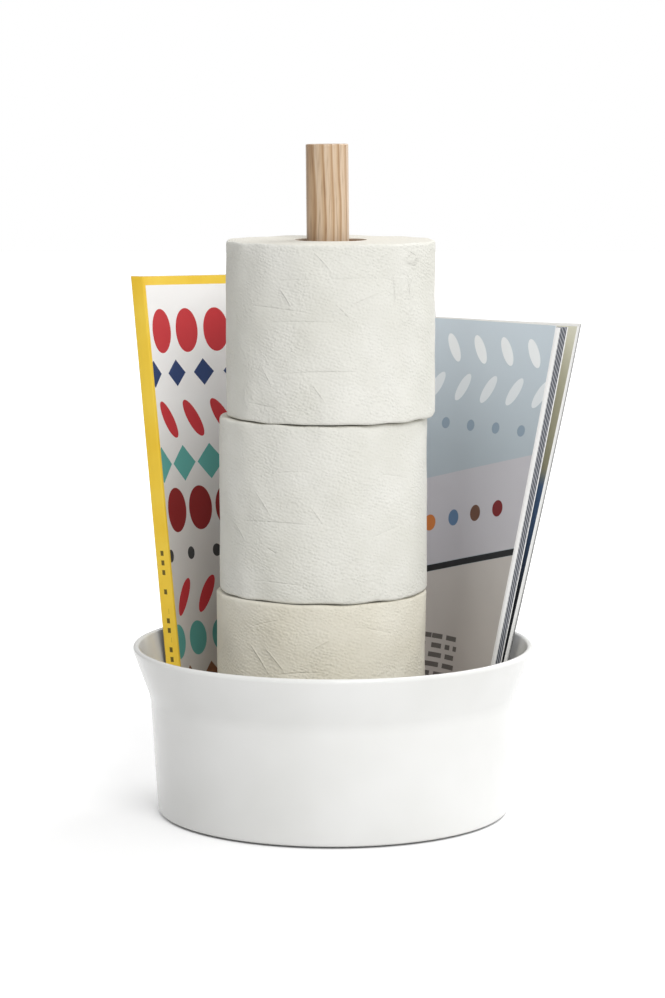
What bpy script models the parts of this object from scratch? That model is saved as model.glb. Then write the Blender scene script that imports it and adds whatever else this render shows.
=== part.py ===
"""Bathroom organiser: a glazed bowl with an upright wooden post for spare toilet rolls.

Three rolls are stacked on the post and two magazines stand bent round behind them.
Lengths are in metres and angles in radians. +Z is up, -Y is the front, and the origin
is on the surface that the organiser stands on, in line with the post.
"""

import math

import bmesh
import bpy
from mathutils import Vector

# Clearances between pieces
touching_gap = 0.0003
leaning_gap = 0.0005
nesting_gap = 0.0008

# A roll and the clear width round it, in which the magazines stand, set the bowl's width
roll_radius = 0.0577
roll_clearance = 0.0358

# Bowl: one glazed shell with a foot ring, a flared rim and a hollow boss in the middle
wall_thickness = 0.0038
base_radius = roll_radius + roll_clearance + wall_thickness
crease_flare = 0.0033
crease_radius = base_radius + crease_flare
crease_height = 0.059
rim_flare = 0.0101
rim_radius = crease_radius + rim_flare
bowl_height = 0.0926
lip_thickness = 0.0038
lip_round_share = 0.47
floor_thickness = 0.005
floor_top = 0.010
foot_ring_width = 0.013
foot_ring_draft = 0.001
boss_top = 0.027
boss_radius = 0.034
boss_draft = 0.003
boss_wall = 0.005
outer_crease_fillet = 0.025
inner_crease_fillet = 0.020
foot_edge_fillet = 0.0016
floor_fillet = 0.0045
boss_root_fillet = 0.005
boss_edge_fillet = 0.0025
recess_fillet = 0.002
hole_edge_fillet = 0.0005

# Base pad under the foot ring
pad_thickness = 0.0007
pad_setback = 0.0063

# Post and its fixing
post_radius = 0.0115
post_top = 0.3652
post_chamfer = 0.0007
post_lean = math.radians(0.56)
gasket_thickness = 0.0012
screw_radius = 0.003
screw_length = 0.028
screw_head_radius = 0.0055
screw_head_height = 0.0036
screw_head_fillet = 0.0012
screw_point_chamfer = 0.0006
socket_radius = 0.0023
socket_depth = 0.002
screw_clearance = 0.0005
washer_radius = 0.009
steel_washer_thickness = 0.0012
rubber_washer_thickness = 0.0015
insert_wall = 0.0011
insert_length = 0.016
insert_setback = 0.001
insert_flange_height = 0.002
insert_groove_depth = 0.0004
bore_beyond_insert = 0.007
bore_tip_height = 0.002

# Toilet rolls
roll_height = 0.0953
roll_edge_fillet = 0.0022
core_inner_radius = 0.0186
core_card = 0.0007
core_shortfall = 0.0006
roll_swell_share = 0.006
roll_lobe_share = 0.004
roll_waist_share = 0.005
lower_roll_shift = (-0.0066, 0.0)
middle_roll_shift = (-0.0053, 0.0008)
upper_roll_shift = (-0.0013, -0.0006)
lower_roll_turn = math.radians(23)
middle_roll_turn = math.radians(120)
upper_roll_turn = math.radians(223)

# Magazines: each is wrapped on a cone that leans out over the bowl's crease
cover_sheet = 0.0004
lean_share = 0.14
large_width = 0.193
large_length = 0.281
large_thickness = 0.0084
large_end_rise = 0.0020
large_middle_angles = (math.radians(102.4), math.radians(107.8))
small_width = 0.188
small_length = 0.2571
small_thickness = 0.0096
small_rear_pages = 0.0025
small_page_trim = 0.0014
small_flat_run_low = 0.0243
small_flat_run_high = 0.0689
small_flat_angles = (math.radians(25.4), math.radians(46.6))
small_spread = 0.0127
small_spread_start_share = 0.6
small_spread_power = 1.43
small_fan_share = 0.4

# Facet counts
bowl_segments = 64
post_segments = 40
fixing_segments = 24
roll_segments = 40
cover_steps = 18
cover_levels = 7
socket_sides = 6

# Modelling settings
sharp_angle = math.radians(35)
weld_distance_share = 0.01


def clear_scene():
    for thing in list(bpy.data.objects):
        bpy.data.objects.remove(thing, do_unlink=True)


def make_material(name, colour, roughness, metallic=0.0):
    material = bpy.data.materials.new(name)
    material.use_nodes = True
    shader = material.node_tree.nodes["Principled BSDF"]
    shader.inputs["Base Color"].default_value = (*colour, 1.0)
    shader.inputs["Roughness"].default_value = roughness
    shader.inputs["Metallic"].default_value = metallic
    material.diffuse_color = (*colour, 1.0)
    return material


def finish_piece(name, mesh_builder, material, smooth=True):
    """Turns a finished bmesh into a named object, with its faces pointing out."""
    bmesh.ops.recalc_face_normals(mesh_builder, faces=mesh_builder.faces)
    mesh = bpy.data.meshes.new(name)
    mesh_builder.to_mesh(mesh)
    mesh_builder.free()
    mesh.materials.append(material)
    if smooth:
        mesh.shade_smooth()
        mesh.set_sharp_from_angle(angle=sharp_angle)
    piece = bpy.data.objects.new(name, mesh)
    bpy.context.scene.collection.objects.link(piece)
    return piece


def rounded_outline(corners):
    """Points of a closed outline whose corners are (x, z, fillet radius, arc steps)."""
    points = []
    count = len(corners)
    for index, (x, z, radius, steps) in enumerate(corners):
        corner = Vector((x, z))
        before = (Vector(corners[index - 1][:2]) - corner).normalized()
        after = (Vector(corners[(index + 1) % count][:2]) - corner).normalized()
        if radius == 0 or steps == 0:
            points.append(corner)
            continue
        half_angle = before.angle(after) / 2
        reach = radius / math.tan(half_angle)
        centre = corner + (before + after).normalized() * (radius / math.sin(half_angle))
        start = corner + before * reach - centre
        turn = start.angle_signed(corner + after * reach - centre)
        for step in range(steps + 1):
            angle = -turn * step / steps
            points.append(centre + Vector((
                start.x * math.cos(angle) - start.y * math.sin(angle),
                start.x * math.sin(angle) + start.y * math.cos(angle),
            )))
    return points


def turn_profile(points, segments, closed):
    """Spins (radius, height) points round the Z axis into a closed solid."""
    turned = bmesh.new()
    rail = [turned.verts.new((x, 0, z)) for x, z in points]
    pairs = list(zip(rail, rail[1:]))
    if closed:
        pairs.append((rail[-1], rail[0]))
    edges = [turned.edges.new(pair) for pair in pairs]
    bmesh.ops.spin(
        turned, geom=rail + edges, cent=(0, 0, 0), axis=(0, 0, 1),
        angle=math.tau, steps=segments, use_merge=True,
    )
    bmesh.ops.remove_doubles(turned, verts=turned.verts, dist=touching_gap * weld_distance_share)
    return turned


def tube_outline(inner, outer, low, high):
    return [(inner, low), (outer, low), (outer, high), (inner, high)]


def bowl_piece(material):
    ring_inner = base_radius - foot_ring_width
    under_floor = floor_top - floor_thickness
    under_boss = boss_top - boss_wall
    ring_face = pad_thickness + touching_gap
    boss_foot = boss_radius + boss_draft
    hole_radius = screw_radius + screw_clearance
    corners = [
        (hole_radius, boss_top, hole_edge_fillet, 1),
        (boss_radius, boss_top, boss_edge_fillet, 2),
        (boss_foot, floor_top, boss_root_fillet, 2),
        (base_radius - wall_thickness, floor_top, floor_fillet, 3),
        (crease_radius - wall_thickness, crease_height, inner_crease_fillet, 2),
        (rim_radius - lip_thickness, bowl_height, lip_thickness * lip_round_share, 3),
        (rim_radius, bowl_height, lip_thickness * lip_round_share, 3),
        (crease_radius, crease_height, outer_crease_fillet, 3),
        (base_radius, ring_face, foot_edge_fillet, 3),
        (ring_inner, ring_face, foot_ring_draft, 1),
        (ring_inner - foot_ring_draft, under_floor, recess_fillet, 1),
        (boss_foot - boss_wall, under_floor, recess_fillet, 1),
        (boss_radius - boss_wall, under_boss, recess_fillet, 1),
        (hole_radius, under_boss, 0, 0),
    ]
    shell = turn_profile(rounded_outline(corners), bowl_segments, closed=True)
    return finish_piece("bowl", shell, material)


def base_pad_piece(material):
    radius = base_radius - pad_setback
    outline = [(0, 0), (radius, 0), (radius, pad_thickness), (0, pad_thickness)]
    disc = turn_profile(outline, bowl_segments, closed=False)
    return finish_piece("base_pad", disc, material)


def post_foot_height():
    return boss_top + touching_gap + gasket_thickness + touching_gap


def insert_outer_radius():
    return screw_radius + touching_gap + insert_wall


def post_piece(material):
    """A turned dowel with chamfered ends and a blind bore for the threaded insert.

    It leans about its foot by the little that one screw on a soft gasket lets it.
    """
    foot = post_foot_height()
    bore = insert_outer_radius() + touching_gap
    bore_depth = insert_setback + insert_length + bore_beyond_insert
    length = post_top - foot
    corners = [
        (0, length, 0, 0),
        (post_radius, length, post_chamfer, 1),
        (post_radius, 0, post_chamfer, 1),
        (bore, 0, 0, 0),
        (bore, bore_depth, 0, 0),
        (0, bore_depth + bore_tip_height, 0, 0),
    ]
    dowel = turn_profile(rounded_outline(corners), post_segments, closed=False)
    post = finish_piece("post", dowel, material)
    post.location.z = foot
    post.rotation_euler.y = -post_lean
    return post


def ring_piece(name, inner, outer, low, high, material):
    ring = turn_profile(tube_outline(inner, outer, low, high), fixing_segments, closed=True)
    return finish_piece(name, ring, material)


def threaded_insert_piece(material):
    """A brass sleeve with a flange and two grooves that grip the wood."""
    inner = screw_radius + touching_gap
    outer = insert_outer_radius()
    groove = outer - insert_groove_depth
    low = post_foot_height() + insert_setback
    rib = (insert_length - insert_flange_height) / 5
    levels = [low + insert_flange_height + rib * step for step in range(5)]
    outline = [(inner, low), (outer, low), (outer, levels[0]), (groove, levels[0])]
    outline += [(groove, levels[1]), (outer, levels[1]), (outer, levels[2])]
    outline += [(groove, levels[2]), (groove, levels[3]), (outer, levels[3])]
    outline += [(outer, low + insert_length), (inner, low + insert_length)]
    sleeve = turn_profile(outline, fixing_segments, closed=True)
    return finish_piece("threaded_insert", sleeve, material)


def fixing_screw_piece(head_seat, material):
    """A button-head screw that points up, with a hexagonal socket cut in its head."""
    head_end = head_seat - screw_head_height
    corners = [
        (0, head_end, 0, 0),
        (screw_head_radius, head_end, screw_head_fillet, 3),
        (screw_head_radius, head_seat, 0, 0),
        (screw_radius, head_seat, 0, 0),
        (screw_radius, head_seat + screw_length, screw_point_chamfer, 1),
        (0, head_seat + screw_length, 0, 0),
    ]
    body = turn_profile(rounded_outline(corners), fixing_segments, closed=False)
    screw = finish_piece("fixing_screw", body, material)

    key = bmesh.new()
    bmesh.ops.create_cone(
        key, cap_ends=True, segments=socket_sides, radius1=socket_radius,
        radius2=socket_radius, depth=socket_depth * 2,
    )
    socket = finish_piece("socket_cutter", key, material, smooth=False)
    socket.location.z = head_end
    socket.hide_render = True
    socket.display_type = "WIRE"
    cut = screw.modifiers.new("hexagonal socket", "BOOLEAN")
    cut.object = socket
    cut.operation = "DIFFERENCE"
    cut.solver = "EXACT"
    return screw


def fixing_pieces(materials):
    """The stack under the boss and the gasket and insert above it, all round one screw."""
    hole = screw_radius + screw_clearance
    gasket_low = boss_top + touching_gap
    ring_piece(
        "post_gasket", hole, post_radius, gasket_low,
        gasket_low + gasket_thickness, materials["rubber"],
    )
    rubber_high = boss_top - boss_wall - touching_gap
    rubber_low = rubber_high - rubber_washer_thickness
    ring_piece("rubber_washer", hole, washer_radius, rubber_low, rubber_high, materials["rubber"])
    steel_high = rubber_low - touching_gap
    steel_low = steel_high - steel_washer_thickness
    ring_piece("steel_washer", hole, washer_radius, steel_low, steel_high, materials["steel"])
    fixing_screw_piece(steel_low - touching_gap, materials["steel"])
    threaded_insert_piece(materials["brass"])


def soften_roll(builder, bore, turn):
    """Makes the wound paper slightly out of round and drawn in at mid height."""
    for vert in builder.verts:
        radius = math.hypot(vert.co.x, vert.co.y)
        angle = math.atan2(vert.co.y, vert.co.x)
        depth_share = max(0, (radius - bore) / (roll_radius - bore))
        height_share = vert.co.z / roll_height
        swell = roll_swell_share * math.cos(2 * angle + turn)
        lobes = roll_lobe_share * math.cos(3 * angle - 2 * turn)
        waist = roll_waist_share * math.sin(math.pi * height_share)
        scale = 1 + depth_share * (swell + lobes - waist - roll_swell_share)
        vert.co.x *= scale
        vert.co.y *= scale


def toilet_roll(name, level, shift, turn, materials):
    """A card core and the paper wound on it, hung on an empty at the joint's place."""
    carrier = bpy.data.objects.new(name, None)
    height = boss_top + touching_gap + level * (roll_height + touching_gap)
    carrier.location = (*shift, height)
    bpy.context.scene.collection.objects.link(carrier)

    core_outer = core_inner_radius + core_card
    core_outline = tube_outline(core_inner_radius, core_outer, 0, roll_height - core_shortfall)
    core = turn_profile(core_outline, roll_segments, closed=True)
    core_piece = finish_piece(name + "_core", core, materials["card"])

    bore = core_outer + touching_gap
    quarter = roll_height / 4
    corners = [(bore, 0, 0, 0), (roll_radius, 0, roll_edge_fillet, 3)]
    corners += [(roll_radius, quarter * step, 0, 0) for step in (1, 2, 3)]
    corners += [(roll_radius, roll_height, roll_edge_fillet, 3), (bore, roll_height, 0, 0)]
    paper = turn_profile(rounded_outline(corners), roll_segments, closed=True)
    soften_roll(paper, bore, turn)
    paper_piece = finish_piece(name + "_paper", paper, materials["tissue"])
    for piece in (core_piece, paper_piece):
        piece.parent = carrier


def between(ends, share):
    return ends[0] + (ends[1] - ends[0]) * share


def cone_radius(height):
    """Radius of the cone that the outer magazine's back lies on, which rests on the crease."""
    seat = crease_radius - wall_thickness - leaning_gap
    return seat + lean_share * (height - crease_height)


def upright_share():
    return math.cos(math.atan(lean_share))


def place_large(across, depth, opening, level):
    """A point of the large magazine: across its width, through its thickness, up its length."""
    rise = large_end_rise * (2 * across / large_width - 1) ** 2
    height = floor_top + touching_gap + large_length * upright_share() * level + rise
    back_radius = cone_radius(height)
    middle_radius = back_radius - large_thickness / 2
    angle = between(large_middle_angles, level) + (large_width / 2 - across) / middle_radius
    radius = back_radius - large_thickness + depth
    return Vector((radius * math.cos(angle), radius * math.sin(angle), height))


def place_small(across, depth, opening, level):
    """A point of the small magazine, which bends inside the large one and ends in a flat run."""
    height = floor_top + touching_gap + small_length * upright_share() * level
    front_radius = cone_radius(height) - large_thickness - nesting_gap - small_thickness
    middle_radius = front_radius + small_thickness / 2
    bend_end = small_width - between((small_flat_run_low, small_flat_run_high), level)
    flat_angle = between(small_flat_angles, level)
    angle = flat_angle + max(0, bend_end - across) / middle_radius
    start = small_spread_start_share
    loose_share = max(0, (across / small_width - start) / (1 - start))
    spread = opening * small_spread * level**small_spread_power * loose_share**2
    radius = front_radius + depth + spread
    run = max(0, across - bend_end)
    return Vector((
        radius * math.cos(angle) + run * math.sin(flat_angle),
        radius * math.sin(angle) - run * math.cos(flat_angle),
        height,
    ))


def loft_strip(front, back, place):
    """Skins the strip between two paths of (across, depth, opening) points, level by level.

    Every side face is split along the same diagonal of the sheet, so that neighbouring
    sheets keep their clearance where they twist.
    """
    strip = bmesh.new()
    rows = []
    for step in range(cover_levels + 1):
        level = step / cover_levels
        rows.append([[strip.verts.new(place(*point, level)) for point in path] for path in (front, back)])
    onward = [start[0] < end[0] for start, end in zip(front, front[1:])]
    for low, high in zip(rows, rows[1:]):
        for side in (0, 1):
            for a, b, c, d, forward in zip(low[side], low[side][1:], high[side][1:], high[side], onward):
                first = (a, b, c) if forward else (a, b, d)
                second = (a, c, d) if forward else (b, c, d)
                strip.faces.new(first)
                strip.faces.new(second)
        for end in (0, -1):
            strip.faces.new((low[0][end], low[1][end], high[1][end], high[0][end]))
    for front_row, back_row in (rows[0], rows[-1]):
        for a, b, c, d in zip(front_row, front_row[1:], back_row[1:], back_row):
            strip.faces.new((a, b, c, d))
    return strip


def stations(start, end):
    return [between((start, end), step / cover_steps) for step in range(cover_steps + 1)]


def cover_strip(width, thickness, place):
    """Front cover, spine and back cover as one folded sheet."""
    outside = [(across, 0, 0) for across in reversed(stations(0, width))]
    outside += [(across, thickness, 1) for across in stations(0, width)]
    inside = [(across, cover_sheet, 0) for across in reversed(stations(cover_sheet, width))]
    inside += [(across, thickness - cover_sheet, 1) for across in stations(cover_sheet, width)]
    return loft_strip(outside, inside, place)


def page_strip(width, depths, openings, place):
    """A block of pages between two depths, each of which may open away from the cover."""
    acrosses = stations(cover_sheet + touching_gap, width)
    front = [(across, depths[0], openings[0]) for across in acrosses]
    back = [(across, depths[1], openings[1]) for across in acrosses]
    return loft_strip(front, back, place)


def large_magazine_pieces(materials):
    skin = cover_sheet + touching_gap
    cover = cover_strip(large_width, large_thickness, place_large)
    finish_piece("large_magazine_cover", cover, materials["yellow cover"])
    pages = page_strip(large_width, (skin, large_thickness - skin), (0, 0), place_large)
    finish_piece("large_magazine_pages", pages, materials["pages"])


def place_small_page(across, depth, opening, level):
    """The same for the small magazine's pages, which are cut a little shorter than its cover."""
    return place_small(across, depth, opening, level * (1 - small_page_trim / small_length))


def small_magazine_pieces(materials):
    skin = cover_sheet + touching_gap
    rear_back = small_thickness - skin
    rear_front = rear_back - small_rear_pages
    cover = cover_strip(small_width, small_thickness, place_small)
    finish_piece("small_magazine_cover", cover, materials["blue cover"])
    front_depths = (skin, rear_front - touching_gap)
    pages = page_strip(small_width, front_depths, (0, small_fan_share), place_small_page)
    finish_piece("small_magazine_pages", pages, materials["pages"])
    rear = page_strip(small_width, (rear_front, rear_back), (1, 1), place_small_page)
    finish_piece("small_magazine_rear_pages", rear, materials["pages"])


def make_materials():
    return {
        "glaze": make_material("white glaze", (0.88, 0.88, 0.87), 0.12),
        "ash": make_material("oiled ash", (0.62, 0.44, 0.27), 0.55),
        "rubber": make_material("black rubber", (0.03, 0.03, 0.03), 0.8),
        "felt": make_material("grey foam pad", (0.10, 0.10, 0.10), 0.9),
        "steel": make_material("zinc-plated steel", (0.62, 0.62, 0.60), 0.35, 1.0),
        "brass": make_material("brass", (0.72, 0.50, 0.20), 0.35, 1.0),
        "card": make_material("grey-brown card", (0.42, 0.30, 0.20), 0.9),
        "tissue": make_material("embossed tissue", (0.80, 0.78, 0.73), 0.95),
        "pages": make_material("magazine pages", (0.80, 0.79, 0.77), 0.6),
        "yellow cover": make_material("yellow coated cover", (0.90, 0.62, 0.06), 0.3),
        "blue cover": make_material("blue-grey coated cover", (0.33, 0.40, 0.46), 0.3),
    }


def main():
    clear_scene()
    materials = make_materials()
    bowl_piece(materials["glaze"])
    base_pad_piece(materials["felt"])
    post_piece(materials["ash"])
    fixing_pieces(materials)
    toilet_roll("lower_roll", 0, lower_roll_shift, lower_roll_turn, materials)
    toilet_roll("middle_roll", 1, middle_roll_shift, middle_roll_turn, materials)
    toilet_roll("upper_roll", 2, upper_roll_shift, upper_roll_turn, materials)
    large_magazine_pieces(materials)
    small_magazine_pieces(materials)


main()
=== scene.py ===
# %% [markdown]
# # A bowl with a post for toilet rolls, dressed for the camera
#
# The organizer is a glazed stoneware bowl with an ash post in its middle. Three rolls hang
# on the post and two magazines stand bent round behind them. The engineering model already
# holds every solid at its real size, so this script loads it as a fixed frame and gives
# each visible piece its finish: finer turned shapes, creased paper, printed covers.

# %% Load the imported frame
import math

import bmesh
import bpy
import numpy as np
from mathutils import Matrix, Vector


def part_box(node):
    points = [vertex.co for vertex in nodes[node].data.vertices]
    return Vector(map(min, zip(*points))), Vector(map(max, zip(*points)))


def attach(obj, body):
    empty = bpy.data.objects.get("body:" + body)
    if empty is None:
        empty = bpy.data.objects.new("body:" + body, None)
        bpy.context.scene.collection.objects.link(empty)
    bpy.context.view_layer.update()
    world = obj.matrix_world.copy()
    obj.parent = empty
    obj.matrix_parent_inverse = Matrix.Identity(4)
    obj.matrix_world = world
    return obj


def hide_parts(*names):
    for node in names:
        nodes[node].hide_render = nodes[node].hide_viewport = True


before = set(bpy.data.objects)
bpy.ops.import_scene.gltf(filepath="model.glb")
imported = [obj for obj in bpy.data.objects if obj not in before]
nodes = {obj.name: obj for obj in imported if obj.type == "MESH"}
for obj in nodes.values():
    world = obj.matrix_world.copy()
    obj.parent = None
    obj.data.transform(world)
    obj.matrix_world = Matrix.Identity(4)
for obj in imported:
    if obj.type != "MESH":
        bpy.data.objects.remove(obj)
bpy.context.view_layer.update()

# %% [markdown]
# Two helpers serve every material. Colours are picked as sRGB hex values, as on a screen,
# and one function turns them to the linear values that the renderer works in. The other
# adds a node, sets it and links it, so a material reads as a list of what it is made of.
# A last one puts each new mesh, lamp and camera into the scene.

# %% Colour, node and object helpers
def linear(hex_colour):
    """An sRGB hex colour as linear red, green, blue and alpha."""
    values = [int(hex_colour[start:start + 2], 16) / 255 for start in (1, 3, 5)]
    return (*[v / 12.92 if v <= 0.04045 else ((v + 0.055) / 1.055) ** 2.4 for v in values], 1.0)


def add(tree, kind, sockets=None, stops=(), **settings):
    """Adds a node with its settings. A socket takes a value, an output, or a node's first output.

    The stops are a colour ramp's (position, hex colour) pairs.
    """
    node = tree.nodes.new(kind)
    for name, value in settings.items():
        setattr(node, name, value)
    for key, value in (sockets or {}).items():
        if isinstance(value, bpy.types.Node):
            value = next(output for output in value.outputs if output.enabled)
        if isinstance(value, bpy.types.NodeSocket):
            tree.links.new(value, node.inputs[key])
        else:
            node.inputs[key].default_value = value
    for index, (position, colour) in enumerate(stops):
        elements = node.color_ramp.elements
        element = elements[index] if index < 2 else elements.new(position)
        element.position = position
        element.color = linear(colour)
    return node


def new_material(name, values):
    """A material whose Principled shader starts from these socket values."""
    material = bpy.data.materials.new(name)
    material.use_nodes = True
    shader = material.node_tree.nodes["Principled BSDF"]
    for key, value in values.items():
        shader.inputs[key].default_value = value
    return material, material.node_tree, shader


def wire(tree, shader, colour, bump=None):
    """Links a colour and a bump to the shader."""
    tree.links.new(next(output for output in colour.outputs if output.enabled), shader.inputs["Base Color"])
    if bump:
        tree.links.new(bump.outputs["Normal"], shader.inputs["Normal"])


def in_scene(name, data):
    """A new object with this data, linked to the scene."""
    thing = bpy.data.objects.new(name, data)
    bpy.context.scene.collection.objects.link(thing)
    return thing


print("white paper in linear light:", [round(value, 3) for value in linear("#F2F0EA")])

# %% [markdown]
# ## The camera
#
# The place of a camera can be worked out from the ellipses in a picture: the rim of the
# bowl and the ends of the rolls are circles of known size, and how flat each one looks
# gives the height it is seen from. Here that gives a long lens, 1.7 m away and a little
# above the rolls, looking down by about seven degrees.

# %% Camera
focal_pixels, picture_height, sensor_height = 3116, 998, 36.0
look_down = 0.130
camera_data = bpy.data.cameras.new("camera")
camera_data.sensor_fit = "VERTICAL"
camera_data.sensor_height = sensor_height
camera_data.lens = focal_pixels / picture_height * sensor_height
camera = in_scene("camera", camera_data)
camera.location = (-0.0003, -1.689, 0.3931)
camera.rotation_euler = (math.pi / 2 - look_down, 0.0, 0.0)
bpy.context.scene.camera = camera
print("lens in mm:", round(camera_data.lens, 1))

# %% [markdown]
# ## The studio
#
# A product shot on white is lit by large soft boxes. The main one stands near the camera,
# a little to its right. A second one, behind and to the right, throws the faint shadow that
# lies in front of the bowl on the left. White boards on the right make the room brighter on
# that side, so the round forms fade slowly towards the left. The floor is an ordinary matt
# surface, which catches the shadow. It adds light of its own for camera and mirror rays
# only, and more of it further out, so it reads as white paper up to the horizon and throws
# no more light on the bowl. Where the bowl's foot shuts the light out it adds hardly any,
# which leaves the thin dark line under the foot's edge.

# %% Floor
floor_material, tree, shader = new_material("matt white sweep", {
    "Base Color": linear("#E0E0E0"), "Roughness": 0.9, "Emission Color": (1, 1, 1, 1),
})
path = add(tree, "ShaderNodeLightPath")
seen = add(tree, "ShaderNodeMath", {0: path.outputs["Is Camera Ray"], 1: path.outputs["Is Glossy Ray"]},
           operation="MAXIMUM")
seen = add(tree, "ShaderNodeMath", {0: seen, 1: path.outputs["Is Transmission Ray"]}, operation="MAXIMUM")
place = add(tree, "ShaderNodeTexCoord").outputs["Object"]
away = add(tree, "ShaderNodeVectorMath", {0: place}, operation="LENGTH").outputs["Value"]
glow = add(tree, "ShaderNodeMapRange", {"Value": away, "From Min": 0.25, "From Max": 1.4,
                                        "To Min": 0.36, "To Max": 0.90})
shut_in = add(tree, "ShaderNodeAmbientOcclusion", {"Distance": 0.03}).outputs["AO"]
open_share = add(tree, "ShaderNodeMapRange", {"Value": shut_in, "From Min": 0.06, "From Max": 0.55})
glow = add(tree, "ShaderNodeMath", {0: glow, 1: open_share}, operation="MULTIPLY")
lift = add(tree, "ShaderNodeMath", {0: seen, 1: glow}, operation="MULTIPLY")
tree.links.new(lift.outputs[0], shader.inputs["Emission Strength"])

far = 6
floor_mesh = bpy.data.meshes.new("sweep")
floor_mesh.from_pydata([(-far, -far, 0), (far, -far, 0), (far, far, 0), (-far, far, 0)], [], [(0, 1, 2, 3)])
floor_mesh.materials.append(floor_material)
floor = in_scene("sweep", floor_mesh)
print("floor laid")

# %% World and lamps
world = bpy.data.worlds.new("white studio")
world.use_nodes = True
bpy.context.scene.world = world
tree = world.node_tree
path = add(tree, "ShaderNodeLightPath")
seen = add(tree, "ShaderNodeMath", {0: path.outputs["Is Camera Ray"], 1: path.outputs["Is Transmission Ray"]},
           operation="MAXIMUM")
way = add(tree, "ShaderNodeTexCoord").outputs["Generated"]
rightward = add(tree, "ShaderNodeSeparateXYZ", {0: way}).outputs["X"]
sides = add(tree, "ShaderNodeMapRange", {"Value": rightward, "From Min": -1.0, "To Min": 0.33, "To Max": 0.93})
strength = add(tree, "ShaderNodeMapRange", {"Value": seen, "To Min": sides, "To Max": 1.0})
tree.nodes["Background"].inputs["Color"].default_value = (1, 1, 1, 1)
tree.links.new(strength.outputs["Result"], tree.nodes["Background"].inputs["Strength"])


lamp_aim = Vector((0, 0, 0.15))


def soft_box(name, place, size, watts):
    """A square area lamp that faces the rolls."""
    lamp_data = bpy.data.lights.new(name, "AREA")
    lamp_data.size = size
    lamp_data.energy = watts
    lamp = in_scene(name, lamp_data)
    lamp.location = place
    lamp.rotation_euler = (lamp_aim - Vector(place)).to_track_quat("-Z", "Y").to_euler()


soft_box("main soft box", (0.5, -1.55, 1.6), 0.8, 19.5)
soft_box("rear soft box", (0.88, 0.98, 1.4), 1.1, 14)
bpy.context.scene.view_settings.view_transform = "Standard"

# %% [markdown]
# ## Turned pieces
#
# The bowl was thrown or cast round one axis and the post was turned on a lathe, so both
# are a profile swept round a circle. A Geometry Nodes tree does this once for both: it
# stands the drawn profile up, moves it out to a small circle and sweeps it round. The
# number of steps is an input, so the same tree can make a coarse or a fine piece.

# %% A lathe made of Geometry Nodes
lathe = bpy.data.node_groups.new("lathe", "GeometryNodeTree")
lathe_inputs = {
    name: lathe.interface.new_socket(name, in_out="INPUT", socket_type="NodeSocket" + kind).identifier
    for name, kind in (
        ("Profile", "Geometry"), ("Steps", "Int"), ("Guide Radius", "Float"), ("Finish", "Material"),
    )
}
lathe.interface.new_socket("Turned", in_out="OUTPUT", socket_type="NodeSocketGeometry")
given = add(lathe, "NodeGroupInput")
inward = add(lathe, "ShaderNodeMath", {0: given.outputs["Guide Radius"], 1: -1.0}, operation="MULTIPLY")
shift = add(lathe, "ShaderNodeCombineXYZ", {"X": inward})
stood_up = add(lathe, "GeometryNodeTransform", {
    "Geometry": given.outputs["Profile"], "Rotation": (math.pi / 2, 0, 0), "Translation": shift,
})
outline = add(lathe, "GeometryNodeMeshToCurve", {"Mesh": stood_up})
guide = add(lathe, "GeometryNodeCurvePrimitiveCircle", {
    "Resolution": given.outputs["Steps"], "Radius": given.outputs["Guide Radius"],
})
swept = add(lathe, "GeometryNodeCurveToMesh", {"Curve": guide, "Profile Curve": outline})
real = add(lathe, "GeometryNodeRealizeInstances", {"Geometry": swept})
painted = add(lathe, "GeometryNodeSetMaterial", {"Geometry": real, "Material": given.outputs["Finish"]})
add(lathe, "NodeGroupOutput", {"Turned": painted})
print("lathe inputs:", lathe_inputs)

# %% Closing a mesh and turning a profile
def close_and_smooth(mesh, sharp_degrees):
    """Merges doubled points, turns the faces outwards and shades softly but for sharp edges."""
    builder = bmesh.new()
    builder.from_mesh(mesh)
    bmesh.ops.remove_doubles(builder, verts=builder.verts, dist=0.000002)
    bmesh.ops.recalc_face_normals(builder, faces=builder.faces)
    builder.to_mesh(mesh)
    builder.free()
    mesh.shade_smooth()
    mesh.set_sharp_from_angle(angle=math.radians(sharp_degrees))


def turned_piece(name, points, steps, material):
    """Turns a closed outline of (radius, height) points round the Z axis."""
    guide_radius, sharp_degrees = 0.0005, 40
    count = len(points)
    profile = bpy.data.meshes.new(name + "_profile")
    profile.from_pydata([(x, 0, z) for x, z in points], [(i, (i + 1) % count) for i in range(count)], [])
    piece = in_scene(name, profile)
    turning = piece.modifiers.new("turning", "NODES")
    turning.node_group = lathe
    turning[lathe_inputs["Steps"]] = steps
    turning[lathe_inputs["Guide Radius"]] = guide_radius
    turning[lathe_inputs["Finish"]] = material
    graph = bpy.context.evaluated_depsgraph_get()
    solid = bpy.data.meshes.new_from_object(piece.evaluated_get(graph))
    piece.modifiers.clear()
    piece.data = solid
    close_and_smooth(solid, sharp_degrees)
    print(name, len(solid.polygons), "faces")
    return piece


def rounded(corners):
    """Outline points for corners given as (x, z, fillet radius, steps)."""
    points = []
    for index, (x, z, radius, steps) in enumerate(corners):
        corner = Vector((x, z))
        if not radius:
            points.append(corner)
            continue
        before = (Vector(corners[index - 1][:2]) - corner).normalized()
        after = (Vector(corners[(index + 1) % len(corners)][:2]) - corner).normalized()
        half = before.angle(after) / 2
        centre = corner + (before + after).normalized() * (radius / math.sin(half))
        start = corner + before * (radius / math.tan(half)) - centre
        end = corner + after * (radius / math.tan(half)) - centre
        turn = -start.angle_signed(end)
        for step in range(steps + 1):
            angle = turn * step / steps
            points.append(centre + Vector((
                start.x * math.cos(angle) - start.y * math.sin(angle),
                start.x * math.sin(angle) + start.y * math.cos(angle),
            )))
    return points


print("turning tools ready")

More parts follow.
